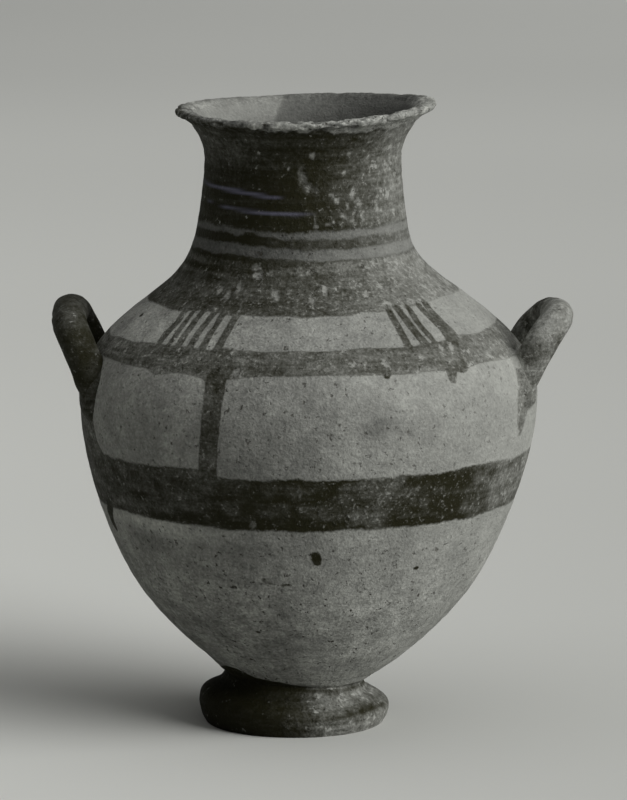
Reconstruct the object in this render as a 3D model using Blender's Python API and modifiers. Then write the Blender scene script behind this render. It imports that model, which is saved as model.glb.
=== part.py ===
"""An amphoriskos: a small wheel-thrown jar with two loop handles on its shoulder.

Metres, +Z up. The origin is on the floor, under the middle of the jar. +X points through the right
handle and the viewer stands at -Y.

The jar is built as its potter built it: a foot, a body and a neck thrown apart on the wheel, two
rolled handles, and the wiped clay that lutes each joint. Every outer face of the turned pieces is
read from one outline, so the joints stay flush when a size changes.
"""
import math

import bmesh
import bpy
from mathutils import Matrix, Vector

NAME = "amphoriskos"

# Outer face: how far each station stands above the one below it
FOOT_HEIGHT = 0.0130
LOWER_WALL_RISE = 0.0250
BELLY_RISE = 0.0537
SHOULDER_RISE = 0.0293
NECK_FOOT_RISE = 0.0160
WAIST_RISE = 0.0225
FLARE_RISE = 0.0115
RIM_RISE = 0.0027
CREST_RISE = 0.0013

# Outer face: its radius at each station
FOOT_JOIN_RADIUS = 0.0197
LOWER_WALL_RADIUS = 0.0461
BELLY_RADIUS = 0.0643
SHOULDER_RADIUS = 0.0451
NECK_FOOT_RADIUS = 0.0306
WAIST_RADIUS = 0.0277
FLARE_RADIUS = 0.0332
RIM_RADIUS = 0.0366
CREST_INSET = 0.0018

# Outer face: its lean from the vertical at each station, outwards as it rises, in degrees
FOOT_JOIN_LEAN = 52.5
LOWER_WALL_LEAN = 37.0
SHOULDER_LEAN = -52.0
NECK_FOOT_LEAN = -18.7
FLARE_LEAN = 47.0

# Outer face: how full the curve above each station is, its pull over the distance to the next
FOOT_JOIN_FULLNESS = 0.354
LOWER_WALL_FULLNESS = 0.263
BELLY_FULLNESS = 0.408
SHOULDER_FULLNESS = 0.370
NECK_FOOT_FULLNESS = 0.182
WAIST_FULLNESS = 0.379
LIP_FULLNESS = 0.42

# Foot
FOOT_REST_RADIUS = 0.0252
FOOT_REST_LEAN = 28.0
FOOT_EDGE_RADIUS = 0.0270
FOOT_EDGE_HEIGHT = 0.0053
FOOT_TOP_RADIUS = 0.0245
FOOT_TOP_HEIGHT = 0.0089
FOOT_TOP_LEAN = -62.0
FOOT_NECK_LEAN = -20.0
FOOT_RECESS_RADIUS = 0.0180
FOOT_RECESS_DEPTH = 0.0065
FOOT_RECESS_LEAN = -35.0
FOOT_FULLNESS = 0.40

# Walls
BODY_WALL = 0.0045
BODY_FLOOR = 0.0055
BODY_FLOOR_FULLNESS = 0.36
NECK_WALL = 0.0036

# Luting clay: each ring's height, and its thickness where it is deepest and at its wiped edge
FOOT_LUTING_HEIGHT = 0.0050
FOOT_LUTING_ROOT = 0.0030
NECK_LUTING_HEIGHT = 0.0095
NECK_LUTING_REACH = 0.0020
NECK_LUTING_DEPTH = 0.0013
LUTING_EDGE = 0.0006

# Handles: a roll of clay bent to a squared arch, its two roots on the shoulder. Each was set by
# hand, so each has its own sizes. The splay is the angle its legs make with the wall and the bend is
# how much further out it leans at its top, both in degrees. The skew and the roll are how far the
# back of the arch stands nearer the neck and higher than its front, over the span.
HANDLE_TIP_RADIUS = 0.0035
HANDLE_BURIED_LENGTH = 0.0125
HANDLE_SQUARENESS = 3.0
RIGHT_ROOT_HEIGHT = 0.1023
RIGHT_SPAN = 0.0368
RIGHT_RISE = 0.0170
RIGHT_ARCH_RISE = 0.0162
RIGHT_SPLAY = 45.0
RIGHT_BEND = 23.0
RIGHT_SKEW = 0.07
RIGHT_ROLL = -0.09
RIGHT_ROOT_RADIUS = 0.0048
RIGHT_TOP_RADIUS = 0.0046
LEFT_ROOT_HEIGHT = 0.1007
LEFT_SPAN = 0.0376
LEFT_RISE = 0.0166
LEFT_ARCH_RISE = 0.0131
LEFT_SPLAY = 38.4
LEFT_BEND = 8.0
LEFT_SKEW = -0.02
LEFT_ROLL = 0.04
LEFT_ROOT_RADIUS = 0.0052
LEFT_TOP_RADIUS = 0.0051

# Pads of wiped clay round each handle root
ROOT_PAD_LENGTH = 0.0240
ROOT_PAD_WIDTH = 0.0172
ROOT_PAD_DEPTH = 0.0052
ROOT_PAD_DROP = 0.0035
ROOT_PAD_SINK = 0.0013

# How far the pot is from true: sideways drift in metres, tilt in degrees, and the rim's saddle, by
# which it stands higher at its sides and lower at its front and back. The right handle reaches
# further than the left, so the wheel's axis stands a little left of the middle of the whole jar.
WHEEL_AXIS = -0.0015
FOOT_DRIFT = -0.0032
FOOT_TILT = 4.0
FOOT_SETTLE_HEIGHT = 0.0080
SHOULDER_DRIFT = 0.0009
SHOULDER_DRIFT_HEIGHT = 0.1005
NECK_DRIFT = -0.0008
RIM_TILT = 1.65
RIM_TILT_HEIGHT = 0.0200
RIM_SADDLE = 0.0007

# Clearance between pieces that touch, and the distance under which two points are one
GAP = 0.0003
WELD_DISTANCE = 0.00001

# Facets: steps round the wheel, points along each curve, and the angle past which an edge is sharp
WHEEL_STEPS = 48
FINE_POINTS = 40
STRETCH_POINTS = 5
FOOT_POINTS = 4
LIP_POINTS = 3
CAVITY_POINTS = 12
THROAT_POINTS = 9
LUTING_POINTS = 5
BURIED_POINTS = 3
ARCH_POINTS = 21
HANDLE_BEVEL_RESOLUTION = 5
PAD_SEGMENTS = 20
PAD_RINGS = 12
SHARP_ANGLE = 40.0

# Heights that follow from the rises
LOWER_WALL_HEIGHT = FOOT_HEIGHT + LOWER_WALL_RISE
BELLY_HEIGHT = LOWER_WALL_HEIGHT + BELLY_RISE
SHOULDER_HEIGHT = BELLY_HEIGHT + SHOULDER_RISE
NECK_FOOT_HEIGHT = SHOULDER_HEIGHT + NECK_FOOT_RISE
WAIST_HEIGHT = NECK_FOOT_HEIGHT + WAIST_RISE
FLARE_HEIGHT = WAIST_HEIGHT + FLARE_RISE
RIM_HEIGHT = FLARE_HEIGHT + RIM_RISE
CREST_HEIGHT = RIM_HEIGHT + CREST_RISE

BODY_BASE_HEIGHT = FOOT_HEIGHT + GAP
FOOT_LUTING_TOP = BODY_BASE_HEIGHT + FOOT_LUTING_HEIGHT
NECK_LUTING_TOP = NECK_FOOT_HEIGHT + NECK_LUTING_REACH
NECK_LUTING_BASE = NECK_LUTING_TOP - NECK_LUTING_HEIGHT
NECK_JOINT_HEIGHT = 0.5 * (NECK_LUTING_BASE + NECK_LUTING_TOP)

# The two handles
RIGHT_HANDLE = {
    "side": 1,
    "root_height": RIGHT_ROOT_HEIGHT,
    "span": RIGHT_SPAN,
    "rise": RIGHT_RISE,
    "arch_rise": RIGHT_ARCH_RISE,
    "splay": math.radians(RIGHT_SPLAY),
    "bend": math.radians(RIGHT_BEND),
    "skew": RIGHT_SKEW,
    "roll": RIGHT_ROLL,
    "root_radius": RIGHT_ROOT_RADIUS,
    "top_radius": RIGHT_TOP_RADIUS,
}
LEFT_HANDLE = {
    "side": -1,
    "root_height": LEFT_ROOT_HEIGHT,
    "span": LEFT_SPAN,
    "rise": LEFT_RISE,
    "arch_rise": LEFT_ARCH_RISE,
    "splay": math.radians(LEFT_SPLAY),
    "bend": math.radians(LEFT_BEND),
    "skew": LEFT_SKEW,
    "roll": LEFT_ROLL,
    "root_radius": LEFT_ROOT_RADIUS,
    "top_radius": LEFT_TOP_RADIUS,
}

# Material colours, linear RGB, with roughness
CLAY = ((0.300, 0.290, 0.262), 0.86)
CLAY_WIPED = ((0.230, 0.222, 0.198), 0.86)
DARK_SLIP = ((0.042, 0.040, 0.033), 0.70)
WORN_SLIP = ((0.085, 0.082, 0.070), 0.76)


# Curves in the plane of the profile, as (radius, height) pairs

def stretch(start, end, start_lean, end_lean, fullness, points):
    """A smooth curve between two stations that leaves and arrives at the given leans."""
    a, b = Vector(start), Vector(end)
    pull = fullness * (b - a).length
    leave = Vector((math.sin(math.radians(start_lean)), math.cos(math.radians(start_lean))))
    arrive = Vector((math.sin(math.radians(end_lean)), math.cos(math.radians(end_lean))))
    controls = (a, a + pull * leave, b - pull * arrive, b)
    curve = []
    for i in range(points + 1):
        t = i / points
        weights = ((1 - t) ** 3, 3 * t * (1 - t) ** 2, 3 * t * t * (1 - t), t ** 3)
        curve.append(sum((w * c for w, c in zip(weights, controls)), Vector((0, 0))))
    return curve


def chain(*curves):
    """Curves joined end to end, with the shared point kept once."""
    points = list(curves[0])
    for curve in curves[1:]:
        points.extend(curve[1:])
    return points


def outer_face(points):
    """The turned outline from the foot joint up to the flare under the rim."""
    stations = (
        (FOOT_JOIN_RADIUS, FOOT_HEIGHT, FOOT_JOIN_LEAN, FOOT_JOIN_FULLNESS),
        (LOWER_WALL_RADIUS, LOWER_WALL_HEIGHT, LOWER_WALL_LEAN, LOWER_WALL_FULLNESS),
        (BELLY_RADIUS, BELLY_HEIGHT, 0.0, BELLY_FULLNESS),
        (SHOULDER_RADIUS, SHOULDER_HEIGHT, SHOULDER_LEAN, SHOULDER_FULLNESS),
        (NECK_FOOT_RADIUS, NECK_FOOT_HEIGHT, NECK_FOOT_LEAN, NECK_FOOT_FULLNESS),
        (WAIST_RADIUS, WAIST_HEIGHT, 0.0, WAIST_FULLNESS),
        (FLARE_RADIUS, FLARE_HEIGHT, FLARE_LEAN, LIP_FULLNESS),
    )
    curves = []
    for (r0, z0, lean0, fullness), (r1, z1, lean1, _) in zip(stations, stations[1:]):
        curves.append(stretch((r0, z0), (r1, z1), lean0, lean1, fullness, points))
    return chain(*curves)


FINE_FACE = outer_face(FINE_POINTS)


def face_at(height):
    """Outer radius at a height, and the outward normal there, as ((r, z), (nr, nz))."""
    for low, high in zip(FINE_FACE, FINE_FACE[1:]):
        if height <= high.y:
            break
    t = (height - low.y) / (high.y - low.y)
    along = (high - low).normalized()
    return Vector((low.x + t * (high.x - low.x), height)), Vector((along.y, -along.x))


def inset(height, depth):
    """The point this deep under the outer face, square to it."""
    point, normal = face_at(height)
    return point - depth * normal


def heights(low, high, count):
    """Evenly spaced heights, both ends included."""
    return [low + (high - low) * i / count for i in range(count + 1)]


def face_between(low, high):
    """The outline's points between two heights, ends included, thinned to a few a station."""
    inner = [p for p in outer_face(STRETCH_POINTS) if low + GAP < p.y < high - GAP]
    return [face_at(low)[0], *inner, face_at(high)[0]]


# How the pot has settled out of true

def ease(t):
    """Smooth step from 0 to 1."""
    t = min(max(t, 0.0), 1.0)
    return t * t * (3 - 2 * t)


def drift(height):
    """Sideways shift of the wheel's axis at a height."""
    free_of_foot = ease((height - FOOT_HEIGHT) / FOOT_SETTLE_HEIGHT)
    at_shoulder = ease((height - LOWER_WALL_HEIGHT) / (SHOULDER_DRIFT_HEIGHT - LOWER_WALL_HEIGHT))
    at_neck = ease((height - SHOULDER_HEIGHT) / NECK_FOOT_RISE)
    at_rim = ease((height - WAIST_HEIGHT) / (CREST_HEIGHT - WAIST_HEIGHT))
    shift = FOOT_DRIFT * (1 - free_of_foot) + SHOULDER_DRIFT * (at_shoulder - at_neck)
    return shift + NECK_DRIFT * (at_neck - at_rim)


def settle(point):
    """A point of the true pot, moved to where it lies on the settled one."""
    x, y, z = point
    if z <= FOOT_HEIGHT:
        foot_share = 1 - (1 - z / FOOT_HEIGHT) ** 2
    else:
        foot_share = 1 - ease((z - FOOT_HEIGHT) / FOOT_SETTLE_HEIGHT)
    rim_share = ease((z - WAIST_HEIGHT + 0.5 * RIM_TILT_HEIGHT) / RIM_TILT_HEIGHT)
    slope = math.tan(math.radians(RIM_TILT)) * rim_share - math.tan(math.radians(FOOT_TILT)) * foot_share
    saddle = RIM_SADDLE * rim_share * (x * x - y * y) / RIM_RADIUS ** 2
    return Vector((x + WHEEL_AXIS + drift(z), y, z + x * slope + saddle))


def wall_point(side, across, height):
    """The point of the settled outer face at a height and a distance across, and its normal."""
    (radius, _), normal = face_at(height)
    x = side * math.sqrt(radius ** 2 - across ** 2)
    outward = Vector((normal.x * x / radius, normal.x * across / radius, normal.y))
    return settle((x, across, height)), outward


# Profiles of the turned pieces, from the top down the outer side

def foot_profile():
    """A disc foot with a rounded edge and a hollow underside."""
    rest = (FOOT_REST_RADIUS, 0.0)
    edge = (FOOT_EDGE_RADIUS, FOOT_EDGE_HEIGHT)
    top = (FOOT_TOP_RADIUS, FOOT_TOP_HEIGHT)
    neck = (FOOT_JOIN_RADIUS, FOOT_HEIGHT)
    recess_edge = (FOOT_RECESS_RADIUS, 0.0)
    recess_top = (0.0, FOOT_RECESS_DEPTH)
    outer = chain(
        stretch(rest, edge, FOOT_REST_LEAN, 0.0, FOOT_FULLNESS, FOOT_POINTS),
        stretch(edge, top, 0.0, FOOT_TOP_LEAN, FOOT_FULLNESS, FOOT_POINTS),
        stretch(top, neck, FOOT_TOP_LEAN, FOOT_NECK_LEAN, FOOT_FULLNESS, FOOT_POINTS),
    )
    recess = stretch(recess_edge, recess_top, FOOT_RECESS_LEAN, -90.0, FOOT_FULLNESS, FOOT_POINTS)
    return [Vector((0.0, FOOT_HEIGHT)), *reversed(outer), *recess]


def foot_luting_profile():
    """The wiped ring that fills the corner between the foot and the body."""
    outer = face_between(BODY_BASE_HEIGHT, FOOT_LUTING_TOP)
    root = Vector((outer[0].x - FOOT_LUTING_ROOT, BODY_BASE_HEIGHT))
    return [inset(FOOT_LUTING_TOP, LUTING_EDGE), *reversed(outer), root]


def body_profile():
    """The hollow body, stepped back under both luting rings."""
    base_radius = face_at(BODY_BASE_HEIGHT)[0].x - FOOT_LUTING_ROOT
    seat_top = FOOT_LUTING_TOP + GAP
    luting_face = inset(FOOT_LUTING_TOP, LUTING_EDGE) - Vector((base_radius, BODY_BASE_HEIGHT))
    base_radius -= GAP * luting_face.length / luting_face.y
    shoulder_step = NECK_LUTING_BASE - GAP
    joint = NECK_JOINT_HEIGHT - 0.5 * GAP
    under = LUTING_EDGE + GAP
    outer = [
        Vector((base_radius, BODY_BASE_HEIGHT)),
        inset(seat_top, under),
        *face_between(seat_top, shoulder_step),
        inset(shoulder_step, under),
        inset(joint, NECK_LUTING_DEPTH + GAP),
    ]
    floor_middle = (0.0, BODY_BASE_HEIGHT + BODY_FLOOR)
    floor_edge = inset(FOOT_LUTING_TOP, BODY_WALL)
    floor = stretch(floor_middle, floor_edge, 90.0, FOOT_JOIN_LEAN, BODY_FLOOR_FULLNESS, FOOT_POINTS)
    cavity = [inset(z, BODY_WALL) for z in heights(FOOT_LUTING_TOP, joint, CAVITY_POINTS)]
    return [*chain(floor, cavity), *reversed(outer), Vector((0.0, BODY_BASE_HEIGHT))]


def neck_luting_profile():
    """The wiped ring in the hollow between the shoulder and the neck."""
    outer = [face_at(z)[0] for z in heights(NECK_LUTING_BASE, NECK_LUTING_TOP, LUTING_POINTS)]
    inner = [
        inset(NECK_LUTING_BASE, LUTING_EDGE),
        inset(NECK_JOINT_HEIGHT, NECK_LUTING_DEPTH),
        inset(NECK_LUTING_TOP, LUTING_EDGE),
    ]
    return [*reversed(outer), *inner]


def neck_profile():
    """The neck, its flare and the rounded rim, open from end to end."""
    joint = NECK_JOINT_HEIGHT + 0.5 * GAP
    step = NECK_LUTING_TOP + GAP
    rim = Vector((RIM_RADIUS, RIM_HEIGHT))
    crest = Vector((RIM_RADIUS - CREST_INSET, CREST_HEIGHT))
    flare = face_at(FLARE_HEIGHT)[0]
    throat_top = inset(FLARE_HEIGHT, NECK_WALL)
    outer = [
        inset(joint, NECK_LUTING_DEPTH + GAP),
        inset(step, LUTING_EDGE + GAP),
        *face_between(step, FLARE_HEIGHT),
    ]
    lip = chain(
        stretch(flare, rim, FLARE_LEAN, 0.0, LIP_FULLNESS, LIP_POINTS),
        stretch(rim, crest, 0.0, -90.0, LIP_FULLNESS, LIP_POINTS),
        stretch(crest, throat_top, -90.0, FLARE_LEAN + 180.0, LIP_FULLNESS, LIP_POINTS),
    )
    throat = [inset(z, NECK_WALL) for z in reversed(heights(joint, FLARE_HEIGHT, THROAT_POINTS))]
    return [*reversed(chain(outer, lip, throat))]


def solid_pot_profile(grow):
    """The outer face with no hollow, grown on every side: what cuts a handle off at the wall."""
    outer = [inset(z, -grow) for z in heights(FOOT_LUTING_TOP, NECK_LUTING_BASE, FINE_POINTS)]
    return [Vector((0.0, outer[-1].y)), *reversed(outer), Vector((0.0, outer[0].y))]


# Objects

def clear_scene():
    """Removes whatever the scene holds."""
    for item in list(bpy.data.objects):
        bpy.data.objects.remove(item, do_unlink=True)


def new_collection(name):
    """A collection linked to the scene."""
    collection = bpy.data.collections.new(name)
    bpy.context.scene.collection.children.link(collection)
    return collection


def clay(name, colour, roughness):
    """A matt fired-clay material."""
    material = bpy.data.materials.new(name)
    material.use_nodes = True
    shader = material.node_tree.nodes["Principled BSDF"]
    shader.inputs["Base Color"].default_value = (*colour, 1.0)
    shader.inputs["Roughness"].default_value = roughness
    shader.inputs["Metallic"].default_value = 0.0
    material.diffuse_color = (*colour, 1.0)
    return material


def add_object(name, mesh, collection, material=None):
    """An object for a finished mesh, shaded smooth with its true edges sharp."""
    item = bpy.data.objects.new(name, mesh)
    collection.objects.link(item)
    if material is not None:
        mesh.materials.append(material)
    mesh.shade_smooth()
    mesh.set_sharp_from_angle(angle=math.radians(SHARP_ANGLE))
    return item


def evaluated_mesh(item, name):
    """The mesh that an object's modifiers or curve settings give, as a mesh of its own."""
    bpy.context.view_layer.update()
    graph = bpy.context.evaluated_depsgraph_get()
    mesh = bpy.data.meshes.new_from_object(item.evaluated_get(graph))
    mesh.name = name
    mesh.transform(item.matrix_world)
    return mesh


def turned(name, profile, collection, material=None, closed=False):
    """A profile turned about the wheel's axis with a Screw modifier, then settled."""
    outline = bpy.data.meshes.new(name + "_profile")
    edges = [(i, i + 1) for i in range(len(profile) - 1)]
    if closed:
        edges.append((len(profile) - 1, 0))
    outline.from_pydata([(r, 0.0, z) for r, z in profile], edges, [])
    blank = bpy.data.objects.new(name + "_profile", outline)
    bpy.context.scene.collection.objects.link(blank)
    screw = blank.modifiers.new("wheel", "SCREW")
    screw.axis = "Z"
    screw.angle = 2 * math.pi
    screw.steps = WHEEL_STEPS
    screw.render_steps = WHEEL_STEPS
    screw.use_merge_vertices = True
    screw.merge_threshold = WELD_DISTANCE
    mesh = evaluated_mesh(blank, name)
    bpy.data.objects.remove(blank, do_unlink=True)
    bpy.data.meshes.remove(outline)
    for vertex in mesh.vertices:
        vertex.co = settle(vertex.co)
    return add_object(name, mesh, collection, material)


def handle_line(handle):
    """Centreline of a handle as (point, radius) pairs, from its front tip to its back tip.

    In its own plane the arch is a superellipse on two straight legs. The plane is then bent to an
    arc, so that the handle leans further out at its top than at its roots.
    """
    half = 0.5 * handle["span"]
    power = 2.0 / HANDLE_SQUARENESS
    leg = handle["rise"] - handle["arch_rise"]
    root_radius = handle["root_radius"]
    flat = []
    for i in range(BURIED_POINTS + 1):
        share = i / BURIED_POINTS
        radius = HANDLE_TIP_RADIUS + (root_radius - HANDLE_TIP_RADIUS) * share
        flat.append((-half, (share - 1) * HANDLE_BURIED_LENGTH, radius))
    for i in range(ARCH_POINTS + 1):
        turn = math.pi * (i / ARCH_POINTS - 0.5)
        across = math.copysign(half * abs(math.sin(turn)) ** power, turn)
        up = leg + handle["arch_rise"] * max(math.cos(turn), 0.0) ** power
        radius = root_radius + (handle["top_radius"] - root_radius) * up / handle["rise"]
        flat.append((across, up, radius))
    flat.extend((-across, up, radius) for across, up, radius in reversed(flat[:BURIED_POINTS + 1]))
    root, _ = wall_point(handle["side"], half, handle["root_height"])
    _, normal = face_at(handle["root_height"])
    low = handle["splay"] - math.atan2(normal.y, normal.x)
    bend = handle["bend"] / handle["rise"]
    line = []
    for across, up, radius in flat:
        out = (math.cos(low) - math.cos(low + bend * up)) / bend - handle["skew"] * across
        rise = (math.sin(low + bend * up) - math.sin(low)) / bend + handle["roll"] * across
        line.append((Vector((root.x + handle["side"] * out, across, root.z + rise)), radius))
    return line


def roll_of_clay(name, handle, grow):
    """The handle's roll as a closed mesh, its radius grown by a clearance."""
    line = handle_line(handle)
    curve = bpy.data.curves.new(name, "CURVE")
    curve.dimensions = "3D"
    curve.bevel_depth = 1.0  # each point's radius is then its size in metres
    curve.bevel_resolution = HANDLE_BEVEL_RESOLUTION
    curve.use_fill_caps = True
    spline = curve.splines.new("POLY")
    spline.points.add(len(line) - 1)
    for knot, (place, radius) in zip(spline.points, line):
        knot.co = (*place, 1.0)
        knot.radius = radius + grow
    item = bpy.data.objects.new(name, curve)
    bpy.context.scene.collection.objects.link(item)
    mesh = evaluated_mesh(item, name)
    bpy.data.objects.remove(item, do_unlink=True)
    bpy.data.curves.remove(curve)
    weld(mesh)
    return mesh


def weld(mesh):
    """Joins loose caps to their tube and points every face out."""
    work = bmesh.new()
    work.from_mesh(mesh)
    bmesh.ops.remove_doubles(work, verts=work.verts, dist=WELD_DISTANCE)
    bmesh.ops.recalc_face_normals(work, faces=work.faces)
    work.to_mesh(mesh)
    work.free()


def hide_cutter(item):
    """Marks an object as a tool that cuts others."""
    item.hide_render = True
    item.display_type = "WIRE"


def cut(item, cutter, label):
    """Takes the cutter's volume out of an object."""
    boolean = item.modifiers.new(label, "BOOLEAN")
    boolean.operation = "DIFFERENCE"
    boolean.solver = "EXACT"
    boolean.object = cutter


def add_handle(name, handle, pot_cutter, parts, cutters, material):
    """A handle cut off at the wall, and the larger copy of it that cuts its root pads."""
    item = add_object(name, roll_of_clay(name, handle, 0.0), parts, material)
    cut(item, pot_cutter, "wall")
    bore = add_object(name + "_clearance", roll_of_clay(name + "_clearance", handle, GAP), cutters)
    hide_cutter(bore)
    return bore


def add_root_pad(name, handle, end, pot_cutter, handle_cutter, parts, material):
    """An oval pad of wiped clay on the wall, with the handle's root standing through it."""
    across = end * 0.5 * handle["span"]
    height = handle["root_height"] - ROOT_PAD_DROP + handle["roll"] * across
    centre, outward = wall_point(handle["side"], across, height)
    sideways = Vector((0, 0, 1)).cross(outward).normalized()
    upward = outward.cross(sideways)
    turn = Matrix((sideways, upward, outward)).transposed().to_4x4()
    size = Matrix.Diagonal((0.5 * ROOT_PAD_WIDTH, 0.5 * ROOT_PAD_LENGTH, 0.5 * ROOT_PAD_DEPTH, 1.0))
    place = Matrix.Translation(centre - ROOT_PAD_SINK * outward)
    mesh = bpy.data.meshes.new(name)
    work = bmesh.new()
    bmesh.ops.create_uvsphere(work, u_segments=PAD_SEGMENTS, v_segments=PAD_RINGS, radius=1.0)
    work.transform(place @ turn @ size)
    work.to_mesh(mesh)
    work.free()
    item = add_object(name, mesh, parts, material)
    cut(item, pot_cutter, "wall")
    cut(item, handle_cutter, "handle")


def build():
    """Makes every piece of the jar."""
    clear_scene()
    parts = new_collection(NAME)
    cutters = new_collection(NAME + "_cutters")
    turned("foot", foot_profile(), parts, clay("foot_slip", *DARK_SLIP))
    turned("foot_luting", foot_luting_profile(), parts, clay("foot_luting_clay", *CLAY_WIPED), closed=True)
    turned("body", body_profile(), parts, clay("body_clay", *CLAY))
    turned("neck_luting", neck_luting_profile(), parts, clay("neck_luting_slip", *WORN_SLIP), closed=True)
    turned("neck", neck_profile(), parts, clay("neck_slip", *DARK_SLIP), closed=True)
    pot_cutter = turned("pot_clearance", solid_pot_profile(GAP), cutters)
    hide_cutter(pot_cutter)
    for label, handle in (("left_handle", LEFT_HANDLE), ("right_handle", RIGHT_HANDLE)):
        bore = add_handle(label, handle, pot_cutter, parts, cutters, clay(label + "_slip", *WORN_SLIP))
        for place, end in (("front", -1), ("back", 1)):
            name = label + "_" + place + "_root"
            add_root_pad(name, handle, end, pot_cutter, bore, parts, clay(name + "_slip", *WORN_SLIP))


build()
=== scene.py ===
"""The looks of an amphoriskos: a small wheel-thrown clay jar with slip-painted bands, in a studio.

Sizes are in millimetres and angles in degrees until a mesh is made. An angle is measured round the
wheel's axis from the front of the jar, positive towards the right handle, and a height is that of
the true pot, before it settled out of true.
"""

from collections import namedtuple
from functools import partial
from math import atan2, ceil, cos, pi, radians, sin, sqrt, tan

import bpy
import numpy as np
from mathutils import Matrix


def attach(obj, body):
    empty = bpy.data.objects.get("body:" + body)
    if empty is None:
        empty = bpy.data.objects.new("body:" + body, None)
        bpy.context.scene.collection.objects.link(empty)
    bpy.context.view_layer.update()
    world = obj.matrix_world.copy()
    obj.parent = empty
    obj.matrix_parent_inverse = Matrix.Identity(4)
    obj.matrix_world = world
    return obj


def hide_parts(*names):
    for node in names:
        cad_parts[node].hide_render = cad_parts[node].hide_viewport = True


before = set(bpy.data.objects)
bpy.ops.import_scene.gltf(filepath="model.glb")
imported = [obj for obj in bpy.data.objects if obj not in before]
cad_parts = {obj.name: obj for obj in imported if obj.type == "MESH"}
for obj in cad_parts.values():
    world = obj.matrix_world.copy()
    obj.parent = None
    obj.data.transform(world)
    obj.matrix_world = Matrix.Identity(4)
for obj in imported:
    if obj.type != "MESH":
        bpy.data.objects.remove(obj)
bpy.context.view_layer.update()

MM = 0.001

# Outer face: radius, height, lean from the vertical and fullness of the curve above
STATIONS = (
    (19.7, 13, 52.5, 0.354), (46.1, 38, 37, 0.263), (64.3, 91.7, 0, 0.408), (45.1, 121, -52, 0.37),
    (30.6, 137, -18.7, 0.182), (27.7, 159.5, 0, 0.379), (33.2, 171, 47, 0.42),
)
FLARE, FLARE_LEAN = STATIONS[-1][:2], STATIONS[-1][2]
RIM = (36.6, 173.7)
CREST = (34.8, 175)
LIP_FULLNESS = 0.42

# Foot: where it rests, its edge, the top of its disc, its join with the body, and its hollow
FOOT_REST = (25.2, 0)
FOOT_EDGE = (27, 5.3)
FOOT_TOP = (24.5, 8.9)
FOOT_JOIN = STATIONS[0][:2]
FOOT_RECESS = (18, 6.5)
FOOT_FULLNESS = 0.4

# Heights where one piece of clay meets the next on the outer face, and walls
FOOT_SEAM = 13.15
LUTING_SEAM = 18.45
SHOULDER_SEAM = 129.35
NECK_SEAM = 139.15
JOINT_TOP = 134.1
JOINT_GAP = 0.15
BODY_WALL = 4.5
BODY_FLOOR = 18.8
NECK_WALL = 3.6

# How far the jar is from true
WHEEL_AXIS = -1.5
FOOT_DRIFT = -3.2
SHOULDER_DRIFT = 0.9
NECK_DRIFT = -0.8
FOOT_TILT = 4
RIM_TILT = 1.65
RIM_SADDLE = 0.7
FOOT_HEIGHT = FOOT_JOIN[1]
FOOT_FADE = 8

WHEEL_COLUMNS = 600
TURN = np.linspace(-pi, pi, WHEEL_COLUMNS, endpoint=False)[None]


# Curves

def stretch(start, end, start_lean, end_lean, fullness):
    """A Bezier curve between two (radius, height) points, its pulls along the leans at its ends."""
    a, b = np.array(start, float), np.array(end, float)
    pull = fullness * np.linalg.norm(b - a)
    leave, arrive = [
        pull * np.array([sin(radians(lean)), cos(radians(lean))])
        for lean in (start_lean, end_lean)
    ]
    t = np.linspace(0, 1, 60)[:, None]
    first_half = (1 - t) ** 3 * a + 3 * t * (1 - t) ** 2 * (a + leave)
    return first_half + 3 * t * t * (1 - t) * (b - arrive) + t ** 3 * b


def join(*curves):
    """Curves end to end, each shared point kept once."""
    return np.concatenate([curves[0]] + [curve[1:] for curve in curves[1:]])


def lengths(curve):
    """How far along a line of points each one lies."""
    return np.concatenate([[0], np.cumsum(np.linalg.norm(np.diff(curve, axis=0), axis=1))])


def unit(vectors):
    """Vectors brought to a length of 1."""
    return vectors / np.linalg.norm(vectors, axis=-1, keepdims=True)


FACE = join(*[
    stretch(low[:2], high[:2], low[2], high[2], low[3]) for low, high in zip(STATIONS, STATIONS[1:])
])
FOOT_FACE = join(
    stretch(FOOT_REST, FOOT_EDGE, 28, 0, FOOT_FULLNESS),
    stretch(FOOT_EDGE, FOOT_TOP, 0, -62, FOOT_FULLNESS),
    stretch(FOOT_TOP, FOOT_JOIN, -62, -20, FOOT_FULLNESS),
)
FACE_SLOPE = np.gradient(FACE[:, 0], FACE[:, 1])


def face_radius(height):
    """Radius of the outer face above the foot at a height."""
    return np.interp(height, FACE[:, 1], FACE[:, 0])


def face_normal(height):
    """Outward normal of the outer face in the profile's plane: its slope turned a quarter."""
    slope = np.interp(height, FACE[:, 1], FACE_SLOPE)
    length = np.sqrt(1 + slope ** 2)
    return 1 / length, -slope / length


def inset(height, depth):
    """Points this deep under the outer face at these heights, square to it."""
    out, up = face_normal(height)
    return np.stack([face_radius(height) - depth * out, height - depth * up], -1)


def rows_between(low, high, spacing):
    """Outer face points between two heights, as far apart along it as spacing gives at each height."""
    height = np.linspace(low, high, 4000)
    step = np.hypot(np.diff(face_radius(height)), np.diff(height)) / spacing(0.5 * (height[1:] + height[:-1]))
    travel = np.concatenate([[0], np.cumsum(step)])
    chosen = np.interp(np.linspace(0, travel[-1], ceil(travel[-1]) + 1), travel, height)
    return np.stack([face_radius(chosen), chosen], -1)


def resample(curve, spacing):
    """A profile curve in even steps of about this length."""
    travel = lengths(curve)
    even = np.linspace(0, travel[-1], ceil(travel[-1] / spacing) + 1)
    return np.stack([np.interp(even, travel, part) for part in curve.T], -1)


# How the jar has settled out of true

def ease(t):
    """Smooth step from 0 to 1."""
    t = np.clip(t, 0, 1)
    return t * t * (3 - 2 * t)


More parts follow.
